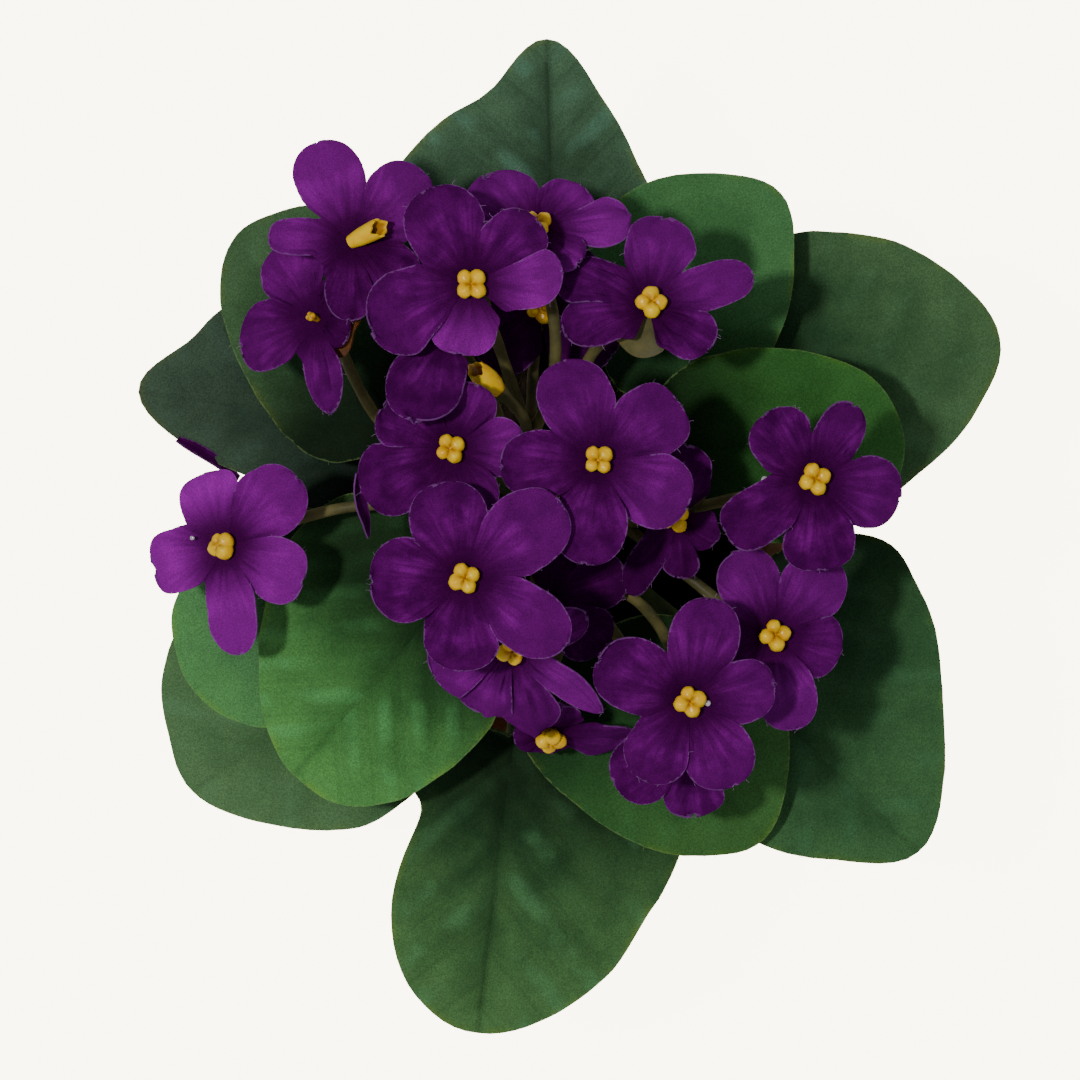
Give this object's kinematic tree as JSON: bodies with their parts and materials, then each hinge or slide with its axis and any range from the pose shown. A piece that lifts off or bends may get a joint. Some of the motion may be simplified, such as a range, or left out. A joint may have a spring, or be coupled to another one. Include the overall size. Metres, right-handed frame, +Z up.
{
  "type": "potted violet",
  "caption": "Artificial African violet in a plain clay pot: spreading heart-shaped fabric leaves under a dome of purple flowers with yellow centres.",
  "frame": {"origin": "middle of the pot's flat foot, on the surface that the pot stands on", "axes": "+Z up out of the pot; the picture looks straight down with +Y towards its top edge and +X to its right"},
  "size_m": [0.2041, 0.2351, 0.1943],
  "materials": {
    "clay": "matte",
    "soil": "matte",
    "crown": "matte",
    "stalk": "matte",
    "leaf_lower": "flocked cloth",
    "leaf_upper": "flocked cloth",
    "petal": "flocked cloth",
    "anther": "gloss"
  },
  "bodies": {
    "root": {"pot": "clay", "soil": "soil", "crown": "crown", "leaf_back": "leaf_lower", "leaf_right": "leaf_lower", "leaf_front_right": "leaf_lower", "leaf_front": "leaf_lower", "leaf_front_left": "leaf_lower", "leaf_left_pointed": "leaf_lower", "leaf_back_right": "leaf_upper", "leaf_right_upper": "leaf_upper", "leaf_front_right_upper": "leaf_upper", "leaf_front_left_upper": "leaf_upper", "leaf_left_small": "leaf_upper", "leaf_back_left": "leaf_upper", "spray_left_back": "stalk", "spray_back": "stalk", "spray_right_back": "stalk", "spray_right": "stalk", "spray_front": "stalk", "spray_left": "stalk", "flower_01_petals": "petal", "flower_01_centre": "anther", "flower_02_petals": "petal", "flower_02_centre": "anther", "flower_03_petals": "petal", "flower_03_centre": "anther", "flower_04_petals": "petal", "flower_04_centre": "anther", "flower_05_petals": "petal", "flower_05_centre": "anther", "flower_06_petals": "petal", "flower_06_centre": "anther", "flower_07_petals": "petal", "flower_07_centre": "anther", "flower_08_petals": "petal", "flower_08_centre": "anther", "flower_09_petals": "petal", "flower_09_centre": "anther", "flower_10_petals": "petal", "flower_10_centre": "anther", "flower_11_petals": "petal", "flower_11_centre": "anther", "flower_12_petals": "petal", "flower_12_centre": "anther", "flower_13_petals": "petal", "flower_13_centre": "anther", "flower_14_petals": "petal", "flower_14_centre": "anther", "flower_15_petals": "petal", "flower_15_centre": "anther", "flower_16_petals": "petal", "flower_16_centre": "anther", "flower_17_petals": "petal", "flower_17_centre": "anther", "flower_18_petals": "petal", "flower_18_centre": "anther", "flower_19_petals": "petal", "flower_19_centre": "anther", "bare_cup": "anther"}
  },
  "joints": []
}
